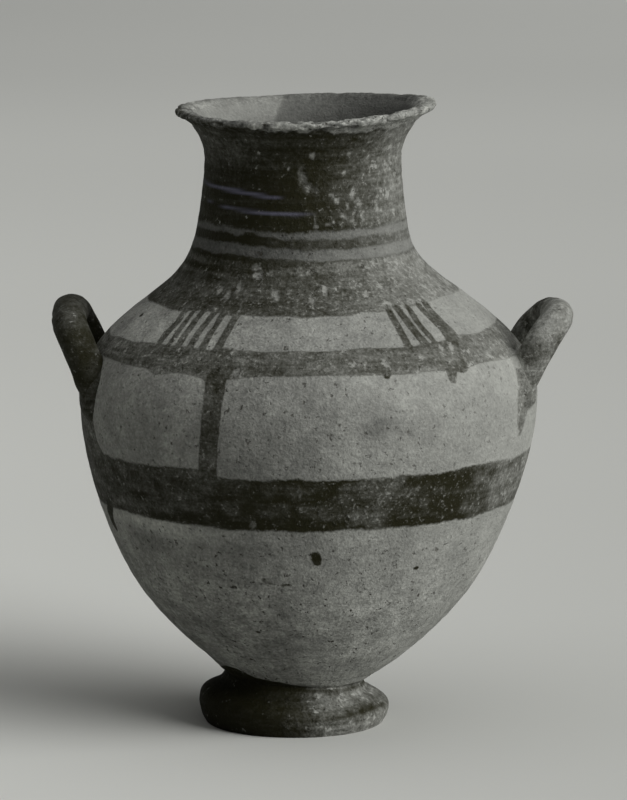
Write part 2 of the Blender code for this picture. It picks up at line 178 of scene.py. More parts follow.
def drift(height):
    """Sideways shift of the wheel's axis: the foot to the left, the shoulder right, the neck back."""
    foot_share = 1 - ease((height - FOOT_HEIGHT) / FOOT_FADE)
    at_shoulder, at_neck = ease((height - 38) / 62.5), ease((height - 121) / 16)
    shift = FOOT_DRIFT * foot_share + SHOULDER_DRIFT * (at_shoulder - at_neck)
    return shift + NECK_DRIFT * (at_neck - ease((height - 159.5) / 15.5))


def settle(turn, radius, height):
    """Where points of the true pot, x = r sin(turn) and y = -r cos(turn), lie on the settled one."""
    x, y = radius * np.sin(turn), -radius * np.cos(turn)
    low = 1 - (1 - np.clip(height, 0, FOOT_HEIGHT) / FOOT_HEIGHT) ** 2
    foot_share = np.where(height <= FOOT_HEIGHT, low, 1 - ease((height - FOOT_HEIGHT) / FOOT_FADE))
    rim_share = ease((height - 149.5) / 20)
    slope = tan(radians(RIM_TILT)) * rim_share - tan(radians(FOOT_TILT)) * foot_share
    saddle = RIM_SADDLE * rim_share * (x * x - y * y) / RIM[0] ** 2
    return np.stack([x + WHEEL_AXIS + drift(height), y, height + x * slope + saddle], -1)


# Uneven surfaces

def swell(turn, height, seed, waves, across, along):
    """Smooth unevenness, mostly from -1 to 1: cosine waves added up, over the root of their number.

    across is the range of whole waves round the wheel, along the range of wavelengths up it.
    """
    chance = np.random.default_rng(seed)
    total = 0
    for _ in range(waves):
        round_count = chance.integers(across[0], across[1] + 1)
        rate = 2 * pi / chance.uniform(*along) * chance.choice([-1, 1])
        total = total + np.cos(round_count * turn + rate * height + chance.uniform(0, 2 * pi))
    return total / sqrt(waves)


def rough(turn, travel, seed, size):
    """Irregular unevenness from -1 to 1: a grid of chance values about this far apart, eased between.

    The grid is 210 mm round, as the neck is, and 420 mm long, more than the longest profile.
    """
    columns = round(210 / size)
    grid = np.random.default_rng(seed).uniform(-1, 1, (int(420 / size) + 3, columns))
    up, across = (travel + 8) / size, turn / (2 * pi) % 1 * columns
    row, column = np.floor(up).astype(int), np.floor(across).astype(int)
    part_up, part_across = ease(up - row), ease(across - column)
    here, after = column % columns, (column + 1) % columns
    low, high = [
        grid[level, here] * (1 - part_across) + grid[level, after] * part_across for level in (row, row + 1)
    ]
    return low * (1 - part_up) + high * part_up


def bump(value, centre, width):
    """A smooth hump of height 1, this wide to each side."""
    return np.exp(-((value - centre) / width) ** 2)


def apart(turn, centre):
    """Angle from a centre given in degrees, in degrees, the short way round."""
    return (np.degrees(turn) - centre + 180) % 360 - 180


def toward(turn, centre, width):
    """A smooth hump round the jar, 1 at this angle and this wide to each side."""
    return bump(apart(turn, centre), 0, width)


def spots(turn, height, table):
    """Soft round spots added up, from a table of (amount, height, its reach, angle, its reach)."""
    return sum(
        amount * bump(height, level, rise) * toward(turn, angle, span)
        for amount, level, rise, angle, span in table
    )


def follow(place, pairs, period=None):
    """A value that follows (place, value) pairs, and comes round again after a period."""
    return np.interp(place, *np.array(pairs, float).T, period=period)


# Paint: hand-drawn edges as (angle, height), going right round the jar and back to their first point

LIP_EDGE = (
    (-180, 171.4), (-150, 171), (-120, 172.8), (-95, 176), (-64, 175.6), (-46, 173.9), (-28, 172.7),
    (-16, 171.6), (-2, 171.2), (22, 170.6), (47, 170.1), (81, 169.9), (115, 170.4), (150, 171),
)
NECK_EDGE = (
    (-180, 143.2), (-130, 143.7), (-80, 143.5), (-47, 143.5), (-23, 142.9), (-1, 142.8), (26, 143.2),
    (51, 143.5), (84, 143.2), (130, 143),
)
LINE_TOP = (
    (-180, 141.4), (-120, 141.2), (-75, 141.4), (-47, 141.7), (-37, 141.7), (-33, 142.3), (-29, 142.6),
    (-24, 141.8), (-18, 141.2), (-1, 140.9), (26, 141.1), (50, 141.5), (90, 140.9), (140, 141.3),
)
LINE_BOTTOM = (
    (-180, 138.8), (-120, 138.7), (-76, 138.9), (-46, 139.3), (-23, 138.8), (-1, 138.2), (26, 138),
    (50, 138.5), (82, 138.3), (130, 138.6),
)
ZONE_TOP = (
    (-180, 135.9), (-120, 135.7), (-76, 135.9), (-44, 136.2), (-22, 136.1), (-1, 135.4), (25, 135.3),
    (60, 135.6), (120, 135.9),
)
ZONE_BOTTOM = (
    (-180, 121.6), (-120, 121), (-85, 121), (-59, 121), (-53, 121.4), (-43, 121.9), (-27, 121.6),
    (-16, 121.7), (8, 121.9), (23, 122.4), (51, 123.4), (72, 123.6), (110, 122.8), (150, 122),
)
SHOULDER_TOP = (
    (-180, 113.9), (-130, 113.4), (-100, 112.4), (-81, 111.7), (-63, 112.5), (-53, 113.1), (-47, 113.6),
    (-36, 113.2), (-25, 113.4), (-13, 113.7), (6, 114), (18, 114.3), (29, 114.1), (45, 114.6), (51, 115),
    (60, 114.7), (73, 115), (110, 114.4), (150, 114.1),
)
SHOULDER_BOTTOM = (
    (-180, 107.6), (-150, 107.2), (-120, 107.6), (-90, 107.2), (-76, 107.2), (-65, 106.9), (-55, 106.9),
    (-48, 106.8), (-44, 105.8), (-40.5, 106.5), (-37.5, 107.2), (-34, 107.1), (-31, 106.5), (-27, 105.9),
    (-21, 106.3), (-17, 106.9), (-12, 107.6), (-2, 107.9), (8, 107.9), (19, 107.6), (30, 107.6), (48, 107.6),
    (57, 107.6), (65, 107.2), (100, 107.4), (125, 106.9), (150, 107.5),
)
BELT_TOP = (
    (-180, 80.9), (-140, 80.2), (-100, 80.9), (-63, 80.9), (-51, 80.8), (-40, 81.3), (-28, 81.5), (-23, 79.6),
    (-14, 79.3), (-2, 79.9), (10, 80), (23, 80), (35, 80), (48, 80.5), (62, 80), (90, 79.7), (130, 80.3),
)
BELT_BOTTOM = (
    (-180, 65.3), (-140, 64.7), (-100, 65), (-75, 64.9), (-66, 65.2), (-56, 65.3), (-43, 65.1), (-30, 64.9),
    (-15, 64.9), (12, 64.8), (26, 64.9), (42, 65), (59, 65.5), (90, 64.9), (130, 65.4),
)

# Brush strokes as (angle, height, half width), from the top down
STROKES = (
    ((-50.3, 122, 0.8), (-49, 119, 0.9), (-49.4, 115.6, 1), (-49.2, 112.7, 1)),
    ((-45.8, 122.2, 0.6), (-45.5, 118.7, 0.7), (-45, 116.5, 0.7), (-45, 113.2, 0.6)),
    ((-41.4, 122.4, 0.8), (-41.8, 119.7, 0.9), (-41.4, 116.5, 0.9), (-41.2, 113.2, 0.9)),
    ((-35.8, 122.4, 0.7), (-36.5, 120, 0.8), (-37, 116.5, 0.8), (-36.8, 112.6, 0.9)),
    ((-32.2, 122.4, 0.7), (-32.3, 119.5, 0.7), (-32.5, 116.2, 0.8), (-32.5, 112.6, 0.8)),
    ((-26, 122.4, 0.8), (-26.8, 119.7, 0.85), (-27.2, 116.2, 0.9), (-27.5, 112.6, 1)),
    ((31, 123.6, 0.8), (30.8, 121, 0.8), (30.8, 117.5, 0.9), (30.7, 114.6, 0.9), (31.3, 110.6, 1.2)),
    ((35, 124, 0.8), (35.1, 121.5, 1), (35.8, 118.1, 1.15), (36.1, 116.2, 1.2), (37.5, 113, 1.3)),
    ((39.8, 124.3, 0.7), (39.7, 121.9, 0.75), (39.3, 119.4, 0.8), (39.8, 117, 0.8), (40.4, 114.9, 0.7)),
    ((45.4, 124.4, 0.8), (45.8, 121.7, 0.85), (46.3, 119.6, 0.9), (47, 117.8, 1.1)),
    ((50, 124.6, 0.9), (49.1, 121.7, 0.95), (49.3, 118.4, 1.1), (49.8, 116.5, 1.4), (49.7, 112.8, 1.8)),
    ((48, 118.2, 1.3), (48.2, 115.5, 2.1), (48.4, 113.5, 2.9), (47.2, 110.6, 3.4), (44.6, 108.6, 2.6)),
    ((130, 123.4, 0.8), (130.5, 119, 0.9), (131, 113.2, 1)),
    ((134.6, 123.2, 0.7), (134.8, 118.6, 0.8), (135.6, 113.2, 0.9)),
    ((139.4, 123, 0.8), (139.6, 118, 0.9), (139.4, 113, 1)),
    ((144.2, 122.8, 0.7), (144.9, 117.8, 0.85), (145.2, 113, 0.8)),
    ((149, 122.8, 0.8), (149.2, 118.2, 0.95), (150.2, 113, 1.1)),
    ((-153, 122.4, 0.8), (-152.4, 118, 0.9), (-152.2, 113, 1)),
    ((-148.2, 122.4, 0.7), (-148, 118, 0.8), (-147.4, 113, 0.7)),
    ((-143.6, 122.2, 0.8), (-143, 117.6, 0.9), (-142.6, 113, 0.9)),
    ((-138.8, 122.2, 0.7), (-138.5, 118, 0.8), (-138.4, 113, 1)),
    ((-134, 122.2, 0.8), (-133.6, 117.8, 0.85), (-133.8, 113, 0.8)),
)

# Drips and dabs below the bands, drawn as the strokes are
DABS = (
    ((-68, 65.8, 1.8), (-70.5, 62.6, 2), (-71.2, 60.4, 1.5), (-70, 58.8, 0.9)),
    ((2.5, 57.4, 1.3), (3.3, 56, 1.25)), ((-12.8, 49.7, 0.6), (-9.4, 49.4, 0.55)),
    ((-6.8, 48.2, 0.5), (-4.7, 48.3, 0.5)), ((34.2, 52.2, 0.6), (34.6, 52.1, 0.6)),
    ((20.6, 107.3, 0.55), (21, 107.1, 0.5)), ((-72.8, 118.2, 0.5), (-72, 117.9, 0.4)),
    ((157, 66, 1.3), (157.6, 63.2, 1), (157.4, 61.6, 0.5)), ((-118, 54.2, 0.9), (-117.2, 53.6, 0.7)),
)

# A broad thin drip under the right group of strokes
BROAD_DRIP = ((41.6, 109, 2.6), (40.9, 107, 1.9), (40.1, 105.2, 1.3))

# The bar that joins the shoulder band to the belt: (height, left edge, right edge)
BAR = (
    (79, -28.3, -23.2), (84.5, -28, -22.8), (93, -27.2, -22.2), (101, -27, -21.8), (105, -27.6, -21.6),
    (108, -29, -21.3), (114, -28.4, -22.4),
)
BACK_BAR = ((79, 149.3, 154.7), (114, 149.3, 154.7))

# Under the left handle the paint runs down to the belt: (height, left edge, right edge)
LEFT_RUN = (
    (79, -118.074, -61.926), (80.7, -116.5, -63.5), (84.2, -113, -67), (90, -111.2, -68.8), (95.3, -110, -70),
    (100.3, -107.8, -72.2), (105.4, -105, -75), (108, -105, -75),
)

# Under the right handle a tail of paint runs down from each root and stops
RIGHT_TAIL = (
    (85.6, 66, 67.2), (88.6, 64.8, 69), (90.8, 64.3, 70.4), (94.8, 64.6, 73.6), (98.5, 66, 76.5),
    (101, 67.3, 78.5), (103.5, 68.6, 79.5), (106, 70.8, 80.5), (109, 74.5, 82),
)
BACK_TAIL = ((107, 104, 4), (106, 97, 2.6), (105, 90, 1))

# Where the paint is chipped or rubbed down to the clay: (angle, height, reach)
CHIPS = (
    (21.5, 110.6, 1), (-19.5, 108.2, 1.3), (33, 123.9, 0.9), (-14.3, 66.4, 1.7), (-24.6, 133.4, 1.4),
    (-22.4, 131.2, 1.6), (5.2, 164.2, 1.1), (26.2, 164, 0.9), (24.8, 159.2, 0.8), (56.8, 151.6, 1.3),
    (19.5, 151.6, 1), (7.3, 144.4, 1), (30, 154, 1.1), (33, 150.4, 1), (-8, 160.4, 0.5), (41.5, 113.1, 0.9),
    (45.3, 112.6, 1), (-40, 127, 1.4), (-35, 126, 1.2), (-31, 128, 1.3), (-13, 126.5, 1.4), (2, 125.6, 1.2),
    (8, 127.6, 1.1), (110, 160, 2.2), (160, 152, 1.8), (-140, 165, 1.6), (170, 128, 2), (120, 72, 2.4),
    (-160, 76, 1.8), (-120, 110, 1.4),
)
SCAR = ((-0.6, 160, 0.7), (-0.4, 157.8, 1), (1.2, 156, 1.1), (4, 154.6, 1), (7.4, 154.1, 0.7))

# Lines of thinner slip, cool and a little paler, drawn over the dark neck
NECK_LINES = (
    ((-92, 154.4, 0.2), (-69.2, 154.1, 0.35), (-41.5, 153.5, 0.55), (-21.5, 152.6, 0.4), (-8, 152, 0)),
    ((-78, 150, 0), (-56, 149, 0.1), (-40.5, 148.4, 0.3), (-21, 148, 0.45), (-3, 147.7, 0.35),
     (8, 147.7, 0)),
    ((150, 153.4, 0.2), (180, 153.7, 0.6), (210, 153.8, 0.5), (232, 153.9, 0.2)),
)

# How far each painted shape has worn round the jar: (angle, share of the slip that is gone)
NECK_WEAR = (
    (-180, 0.25), (-140, 0.12), (-90, 0.02), (-35, 0.01), (0, 0.01), (12, 0.04), (22, 0.1), (35, 0.2),
    (50, 0.37), (62, 0.52), (90, 0.58), (120, 0.4), (150, 0.3),
)
LINE_WEAR = ((-180, 0.25), (-90, 0.1), (-30, 0), (-12, 0.14), (10, 0.28), (40, 0.38), (62, 0.62), (100, 0.6))
ZONE_WEAR = (
    (-180, 0.36), (-100, 0.27), (-60, 0.19), (-25, 0.19), (0, 0.25), (20, 0.36), (40, 0.52), (75, 0.68),
    (120, 0.5),
)
SHOULDER_WEAR = (
    (-180, 0.36), (-80, 0.33), (-55, 0.34), (-25, 0.3), (0, 0.38), (25, 0.36), (45, 0.42), (60, 0.56),
    (80, 0.56), (120, 0.4),
)
BELT_WEAR = (
    (-180, 0.2), (-80, 0.17), (-50, 0.16), (-20, 0.1), (0, 0.03), (9, 0.12), (17, 0.24), (25, 0.1), (34, 0),
    (43, 0.02), (51, 0.17), (60, 0.4), (75, 0.46), (130, 0.28),
)
FOOT_WEAR = (
    (-180, 0.3), (-120, 0.1), (-60, 0), (-30, 0), (-14, 0.02), (0, 0.06), (9, 0.17), (21, 0.46), (60, 0.6),
    (90, 0.5), (140, 0.4),
)

# Height of the foot's ridge, where its slip is kept, and how stained the reserved lines are
RIDGE_HEIGHT = ((-180, 5.5), (22, 5.6), (36, 6.8), (57, 7.8), (75, 7.4), (95, 6.6))
STAIN = ((-180, 0.3), (-60, 0.68), (-20, 0.64), (0, 0.52), (45, 0.38), (100, 0.3))

# How strongly the clay is mottled round the jar
GRIT = ((-180, 1.3), (-60, 1.5), (-20, 1.6), (5, 1.35), (35, 1.05), (60, 0.75), (100, 0.9))

# Paler and darker places. A pale strip with a dark one under it, below the belt on the left, and the smudge
# are in the clay; the other tone spots are painted light on the left shoulder and painted shade over the
# front, the left and the right. Also places where more small flecks have come off the slip
TONE_AND_SHADE_SPOTS = (
    (0.45, 63.2, 2.2, -52, 24), (-0.12, 58.4, 2.6, -52, 24), (0.36, 117, 5, -58, 24),
    (-0.3, 78, 45, -12, 19), (-0.12, 85, 30, -64, 22), (-0.12, 118, 5, 22, 36), (-0.09, 92, 18, 38, 17),
)
SMUDGE = ((-0.27, 94, 4.4, 17, 7.5),)
SALT_SPOTS = (
    (0.5, 73.5, 6.5, 15, 17), (0.3, 75, 8, 44, 22), (0.4, 148, 9, 32, 26), (0.35, 126, 6, 5, 50),
)

FINE_HEIGHTS = np.linspace(0, 176, 1761)
FACE_TRAVEL = lengths(np.stack([face_radius(FINE_HEIGHTS), FINE_HEIGHTS], -1))
UNPAINTED = -30


def edge_height(edge, turn):
    """Height of a hand-drawn edge at each angle, with the small waver of a brush held to a turning pot."""
    waver = 0.16 * swell(turn, 0, int(edge[1][1] * 10), 5, (5, 26), (40, 90))
    if edge is LIP_EDGE:
        waver = waver + 0.4 * rough(turn, 0, 77, 4.1) + 0.3 * rough(turn, 0, 78, 1.7)
    return follow(np.degrees(turn), edge, 360) + waver


def band(turn, height, top, bottom):
    """Depth inside a band, in millimetres along the wall: how far under its top and over its bottom."""
    slant = 1 / face_normal(height)[0]
    return np.minimum(edge_height(top, turn) - height, height - edge_height(bottom, turn)) * slant


def brushed(turn, height, stroke):
    """Depth inside a stroke: its half width less the distance to its line, on the unrolled wall."""
    radius, travel = face_radius(height), np.interp(height, FINE_HEIGHTS, FACE_TRAVEL)
    depth = -9
    for (angle_a, height_a, half_a), (angle_b, height_b, half_b) in zip(stroke, stroke[1:]):
        travel_a, travel_b = np.interp([height_a, height_b], FINE_HEIGHTS, FACE_TRAVEL)
        span, rise = radius * radians(angle_b - angle_a), travel_b - travel_a
        aside, above = radius * np.radians(apart(turn, angle_a)), travel - travel_a
        share = np.clip((aside * span + above * rise) / (span ** 2 + rise ** 2), 0, 1)
        away = np.hypot(aside - share * span, above - share * rise)
        depth = np.maximum(depth, half_a + (half_b - half_a) * share - away)
    return depth


def between(turn, height, edges):
    """Depth inside an upright bar, from its (height, left edge, right edge) table."""
    heights, left, right = np.array(edges, float).T
    left, right = np.interp(height, heights, left), np.interp(height, heights, right)
    depth = 0.5 * (right - left) - np.abs(apart(turn, 0) - 0.5 * (left + right))
    above, below = height - heights[0], heights[-1] - height
    return np.minimum(face_radius(height) * np.radians(depth), np.minimum(above, below))


def from_chips(turn, height):
    """The distance to the middle of each chip, with its reach."""
    for angle, level, reach in CHIPS:
        yield np.hypot(face_radius(height) * np.radians(apart(turn, angle)), height - level), reach


def paint(turn, height):
    """What the mesh says of the slip and the clay, at each angle and height outside.

    Each painted shape gives its depth, and the deepest at a point is the one whose wear counts.
    """
    turn, height = np.broadcast_arrays(turn, height)
    slip, wear = np.full(turn.shape, -9.0), np.full(turn.shape, 0.3)
    around, near = partial(follow, np.degrees(turn), period=360), partial(toward, turn)
    lumps, waves, stroked, banded, barred = (
        partial(take, turn, height) for take in (rough, swell, brushed, band, between))

    def lay(depth, worn):
        """Lays one painted shape over the others."""
        chosen = depth > slip
        wear[chosen] = np.broadcast_to(worn, turn.shape)[chosen]
        slip[chosen] = depth[chosen]

    # Neck
    streaks = 0.04 * waves(61, 9, (0, 3), (3.6, 9))
    streaks = streaks + 0.05 * ease((height - 129) / 2) * waves(62, 9, (0, 4), (1.7, 4.2))
    flakes = 0.6 * lumps(84, 1.9) + 0.5 * lumps(85, 1)
    flecked = 0.5 * ease((flakes - 0.95 + 0.7 * bump(height, 149.5, 8.5) * near(31, 28)) / 0.26)
    neck_wear = around(NECK_WEAR) + 0.12 * ease((height - 156) / 10) * near(-50, 40)
    neck_wear = neck_wear + 0.34 * ease((height - 171) / 1.6) * (1 + lumps(86, 1.6))
    lay(0.45 * banded(LIP_EDGE, NECK_EDGE), neck_wear + flecked + streaks * (0.3 + neck_wear))
    lay(0.6 * banded(LINE_TOP, LINE_BOTTOM), around(LINE_WEAR))

    # Bands
    zone_wear = around(ZONE_WEAR) - 0.12 * ease((height - 127.5) / 4) * near(-52, 34) + streaks
    lay(0.7 * banded(ZONE_TOP, ZONE_BOTTOM), zone_wear)
    lay(banded(SHOULDER_TOP, SHOULDER_BOTTOM), around(SHOULDER_WEAR) + 0.5 * streaks)
    belt_wear = around(BELT_WEAR)
    belt_wear = belt_wear - 0.12 * bump(height, 66.3, 1.5) + streaks * (0.4 + belt_wear)
    patchy = 0.05 * lumps(95, 4) + 0.1 * lumps(96, 1.9)
    lay(0.6 * banded(BELT_TOP, BELT_BOTTOM), belt_wear + patchy)

    # Strokes, drips and bars
    for stroke in STROKES:
        lay(1.1 * stroked(stroke) + 0.32, 0.25)
    for dab in DABS:
        lay(stroked(dab) + 0.2, 0.02)
    lay(stroked(BROAD_DRIP), 0.3)
    lay(barred(BAR), 0.23 + 0.08 * lumps(92, 2.6))
    lay(barred(BACK_BAR), 0.2)

    # Runs of paint under the handles
    lay(barred(LEFT_RUN), 0.24)
    lay(0.45 * barred(RIGHT_TAIL) - 0.4 * np.maximum(rough(turn, 0, 87, 1.4), 0), 0.48)
    lay(stroked(BACK_TAIL), 0.5)

    # Foot: rubbed on the right, apart from its ridge
    to_right = ease(apart(turn, 6) / 24) * (1 - 0.45 * ease(apart(turn, 60) / 24))
    dark_ridge = to_right * bump(height, around(RIDGE_HEIGHT), 1.9)
    # Painted shade: the foot a little darker near its bottom edge on the right, where it meets the floor
    foot_wear = around(FOOT_WEAR) * (1 - 0.88 * dark_ridge) - 0.06 * to_right * bump(height, 1.9, 1.3)
    foot_wear = foot_wear * (1 - 0.85 * bump(height, 12.5, 0.6)) + 0.1 * lumps(88, 3) * to_right
    foot_top = 13.4 + 3.2 * near(-60, 50) + 0.7 * swell(turn, 0, 41, 5, (2, 9), (40, 90))
    lay(foot_top - height, foot_wear)

    # Chips, the scar on the neck and the thin lines
    ragged = 1.15 + 0.5 * lumps(81, 1.5) + 0.3 * lumps(82, 0.9)
    for away, reach in from_chips(turn, height):
        wear += 0.62 * ease(1.9 - 1.9 * away * ragged / reach)
    wear += 0.42 * ease(0.5 + stroked(SCAR) / 1.8) * (1 + 0.6 * lumps(91, 1.3))
    lines = np.max([ease(0.45 + stroked(line) / 0.7) for line in NECK_LINES], axis=0)

    # Tone of the clay, with painted shade and light
    # The tone spots add painted light and shade as well as the clay's own paler and darker places
    tone = 1 + spots(turn, height, TONE_AND_SHADE_SPOTS) + spots(turn, height, SMUDGE) * (1 + 0.6 * lumps(94, 3.1))
    # Painted shade: the lip's top darker on the left
    tone -= 0.45 * ease((height - 169.4) / 1.6) * near(-56, 42)
    # Painted shade: the lower body darker on the left
    tone -= 0.12 * ease((52 - height) / 30) * near(-45, 60)
    # Painted light: the lower body paler on the right
    tone += 0.16 * ease((56 - height) / 26) * near(34, 30)
    tone -= 0.35 * bump(height, 13.3, 0.6) * (0.6 + 0.4 * swell(turn, 0, 71, 5, (2, 9), (40, 90)))
    tone *= 1 - around(STAIN) * ease((height - 134.4) / 0.9) * (1 - ease((height - 143.6) / 0.9))
    tone += 0.12 * near(80, 24) * (1 - ease((height - 104) / 10))

    # How mottled and how flecked it is
    on_foot = ease((16 - height) / 3)
    grit = around(GRIT) + 0.75 * ease((64 - height) / 24) + 1.3 * ease((height - 169) / 2) - 0.6 * on_foot
    salt = 0.3 + spots(turn, height, SALT_SPOTS) - 0.5 * ease((height - 142) / 5) * near(-45, 60)
    salt = salt - (0.2 + 0.7 * ease(apart(turn, 30) / -60)) * on_foot
    return dict(slip=slip, wear=np.clip(wear, 0, 1.4), tone=tone, lines=lines, grit=grit, salt=salt)


def crumble(turn, travel):
    """How far the worn lip has crumbled away, from 0 to about 1.5, less of it round the back."""
    lumps = sum(amount * rough(turn, travel, seed, size) for amount, seed, size in (
        (0.5, 21, 3.3), (0.4, 22, 1.7), (0.35, 24, 0.9)))
    return np.clip(0.44 + lumps, 0, 1.6) * (1 - 0.5 * ease((np.abs(np.degrees(turn)) - 100) / 30))


def relief(turn, height, travel):
    """How far the outer face lies under its true outline: lumps, throwing ridges, flakes and wear.

    travel is the length along the profile. Everything is taken away from the outline, as wear does.
    """
    waves, stroked = partial(swell, turn, height), partial(brushed, turn, height)
    lumps = 0.1 * (1.5 + waves(3, 9, (1, 6), (45, 120)))
    ridges = 0.035 * (1 + waves(5, 7, (0, 2), (3.4, 7.5)))
    low_wall = 0.05 * ease((56 - height) / 20) * (1 + waves(8, 5, (0, 1), (2.6, 5)))
    depth = lumps * ease(height / 20) + ridges + low_wall
    depth = depth + 0.28 * ease(0.5 + stroked(SCAR) / 1.6) + 0.25 * ease(0.5 + stroked(DABS[2]))
    depth = depth + 0.12 * sum(bump(away, 0, 0.8 * reach) for away, reach in from_chips(turn, height))
    seam = 0.42 * bump(height, 13.3, 0.55) + 0.16 * bump(height, 15.6, 0.5) + 0.12 * bump(height, 10.9, 0.6)
    depth = depth + seam * (0.65 + 0.35 * waves(12, 5, (2, 11), (30, 60)))
    roll_height = np.minimum(edge_height(LIP_EDGE, turn), 171) - 0.9
    under_roll = 0.38 * bump(height, roll_height, 0.8) * (0.7 + 0.3 * rough(turn, 0, 23, 5))
    under_ridge = 0.3 * bump(height, 3.6, 0.9) * ease(apart(turn, 0) / 20) * (1 - ease(apart(turn, 80) / 30))
    return depth + 0.65 * ease((height - 169.6) / 1.6) * crumble(turn, travel) + under_roll + under_ridge


# Meshes

def grid_mesh(name, points, poles=None):
    """A closed mesh from rows of points that each go round: rows join to a ring, or end in two poles.

    points is (rows, columns, 3) in millimetres. Row i and column j give one corner, and each face
    takes the corners (i, j), (i, j+1), (i+1, j+1) and (i+1, j), which faces outwards.
    """
    rows, columns, _ = points.shape
    corner = np.arange(rows * columns).reshape(rows, columns)
    upper = np.roll(corner, -1, axis=0) if poles is None else corner[1:]
    lower = corner[:len(upper)]
    quads = np.stack([lower, np.roll(lower, -1, 1), np.roll(upper, -1, 1), upper], -1)
    faces = quads.reshape(-1, 4).tolist()
    flat = points.reshape(-1, 3)
    if poles is not None:
        start, end = corner[0], corner[-1]
        faces += np.stack([0 * start + corner.size, np.roll(start, -1), start], -1).tolist()
        faces += np.stack([0 * end + corner.size + 1, end, np.roll(end, -1)], -1).tolist()
        flat = np.concatenate([flat, poles])
    mesh = bpy.data.meshes.new(name)
    mesh.from_pydata(flat * MM, [], faces)
    mesh.validate()
    mesh.shade_smooth()
    mesh.set_sharp_from_angle(angle=radians(50))
    return mesh


def link_object(name, data):
    """An object for this data, linked into the scene."""
    thing = bpy.data.objects.new(name, data)
    bpy.context.scene.collection.objects.link(thing)
    return thing


def add_piece(node, points, poles, material, values, **at_poles):
    """The dressed piece that stands for one CAD node, with its paint as attributes.

    A pole takes the mean of the row beside it, where at_poles doesn't give a value.
    """
    mesh = grid_mesh("dressed_" + node, points, poles)
    for label, value in values.items():
        if poles is not None:
            ends = [at_poles.get(label, row.mean()) for row in (value[0], value[-1])]
            value = np.append(value, ends)
        attribute = mesh.attributes.new(label, "FLOAT", "POINT")
        attribute.data.foreach_set("value", value.astype(np.float32).ravel())
    mesh.materials.append(material)
    piece = link_object("dressed_" + node, mesh)
    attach(piece, "root")
    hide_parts(node)


def mouth_tone_with_rim_shadow(turn, height):
    """The clay's lightness inside the mouth: darker than outside, and darker still on the right of an edge
    that leans left as it goes down, a painted shadow of the rim on the inner wall.
    """
    edge = 197 + (171 - height) * 1.2
    angle = np.degrees(turn) % 360
    # Painted shadow of the rim on the inner wall, to the right of the edge
    rim_shadow = ease((edge - angle) / 3) * ease((angle - 60) / 40)
    return 0.8 - (0.36 + 0.08 * ease((170 - angle) / 40)) * rim_shadow


def turned(node, before, face, after, material, poles=None):
    """A profile turned on the wheel, sunk by its relief square to its face, then settled.

    Its rows are those before the outer face, on it and after it, and only those on it carry relief.
    poles are the heights on the axis where the first and last rows close, or None for a ring.
    """
    profile = np.concatenate([*before, *face, *after])
    first = sum(map(len, before))
    last = first + sum(map(len, face))
    row = np.arange(len(profile))[:, None]
    outside = (row >= first) & (row < last)
    radius, height = profile[:, :1], profile[:, 1:]
    along = np.zeros_like(profile)
    along[first:last] = unit(np.gradient(profile[first:last], axis=0))
    travel = lengths(profile)[:, None]
    sunk = np.where(outside, relief(TURN, height, travel), 0)
    points = settle(TURN, radius - sunk * along[:, 1:], height + sunk * along[:, :1])

    values = paint(TURN, height)
    # Painted shade in the hollows of the crumbled lip, deepest on the left, and the rest of its top slightly
    # paler
    hollow = ease((crumble(TURN, travel) - 0.42) / 0.5)
    lip_crevice_shade_depth = 0.62 - 0.27 * ease(apart(TURN, 5) / 40)
    lip_tone_with_crevice_shade = 1 + ease((height - 170.5) / 1.5) * (0.04 - (lip_crevice_shade_depth + 0.04) * hollow)
    past_top = row > np.argmax(profile[:, 1])
    to_back = past_top * ease((np.abs(np.degrees(TURN)) - 92) / 26)
    # Inside, the clay takes the painted shadow of the rim, and at the back the lip's inner rows blend into it
    mouth = mouth_tone_with_rim_shadow(TURN, height)
    values["tone"] = np.where(outside, values["tone"] * lip_tone_with_crevice_shade * (1 - to_back) + to_back * mouth, mouth)
    values["grit"] = np.where(outside, values["grit"] * (1 - 0.4 * to_back), 0.8)
    values["slip"] = np.where(past_top | ~outside, UNPAINTED, values["slip"])
    ends = poles and [settle(0, 0, level) for level in poles]
    add_piece(node, points, ends, material, values, tone=0.6, grit=1)


# Materials

CLAY = "#9C9D97"
SLIP = "#242312"
# Painted shade in pits and dents
PIT_SHADE = "#45433C"
THIN_LINE = "#9494B0"
PAPER = "#D3D4CF"
BACKDROP = "#B4B5B0"
FILL_LIGHT = "#F4F4F4"


def linear(code):
    """An sRGB hex colour as linear RGBA."""
    parts = [int(code[i:i + 2], 16) / 255 for i in (1, 3, 5)]
    return (*[p / 12.92 if p <= 0.04045 else ((p + 0.055) / 1.055) ** 2.4 for p in parts], 1.0)


def bare_tree(block):
    """The node tree of a new material or world, emptied."""
    block.use_nodes = True
    block.node_tree.nodes.clear()
    return block.node_tree


def add_node(tree, kind, inputs=None, output=0, **settings):
    """A node with its settings, its inputs given as values or other nodes' outputs. Gives one output."""
    node = tree.nodes.new("ShaderNode" + kind)
    for label, value in settings.items():
        setattr(node, label, value)
    for socket, value in (inputs or {}).items():
        if isinstance(value, bpy.types.NodeSocket):
            tree.links.new(value, node.inputs[socket])
        else:
            node.inputs[socket].default_value = value
    return node.outputs[output] if node.outputs else None


